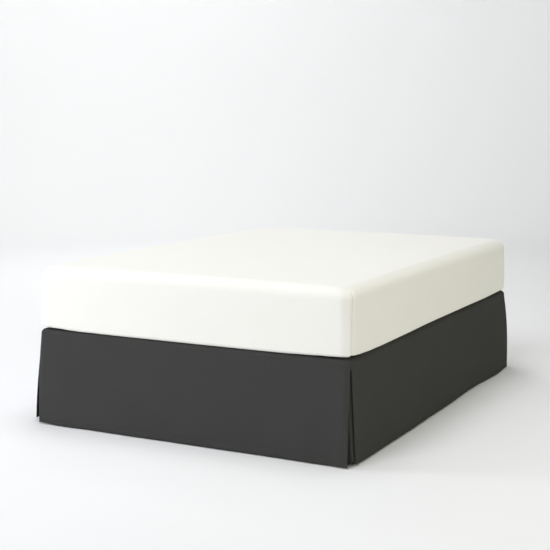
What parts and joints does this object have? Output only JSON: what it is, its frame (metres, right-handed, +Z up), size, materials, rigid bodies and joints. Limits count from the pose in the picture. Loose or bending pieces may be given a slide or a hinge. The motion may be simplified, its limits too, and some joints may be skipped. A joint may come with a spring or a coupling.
{
  "type": "bed skirt on a box spring and mattress",
  "caption": "Tailored bed skirt in plain charcoal cloth, hanging flat to the floor round a box spring and mattress, open at the head end, with split foot corners.",
  "frame": {"origin": "on the floor, at the middle of the object's footprint", "axes": "+X to the right as seen from the foot of the bed, +Y from the foot towards the head, +Z up"},
  "size_m": [1.434, 1.9539, 0.6462],
  "materials": {
    "charcoal_cotton": "matt plain-weave cloth",
    "cream_fitted_sheet": "matt fine woven sheet",
    "box_spring_ticking": "matt woven ticking",
    "stained_beech": "satin stain"
  },
  "bodies": {
    "root": {"skirt_deck": "charcoal_cotton", "drop_foot": "charcoal_cotton", "drop_left": "charcoal_cotton", "drop_right": "charcoal_cotton", "corner_flap_left": "charcoal_cotton", "corner_flap_right": "charcoal_cotton", "mattress": "cream_fitted_sheet", "box_spring": "box_spring_ticking", "leg_foot_left": "stained_beech", "leg_middle_left": "stained_beech", "leg_head_left": "stained_beech", "leg_foot_right": "stained_beech", "leg_middle_right": "stained_beech", "leg_head_right": "stained_beech"}
  },
  "joints": []
}
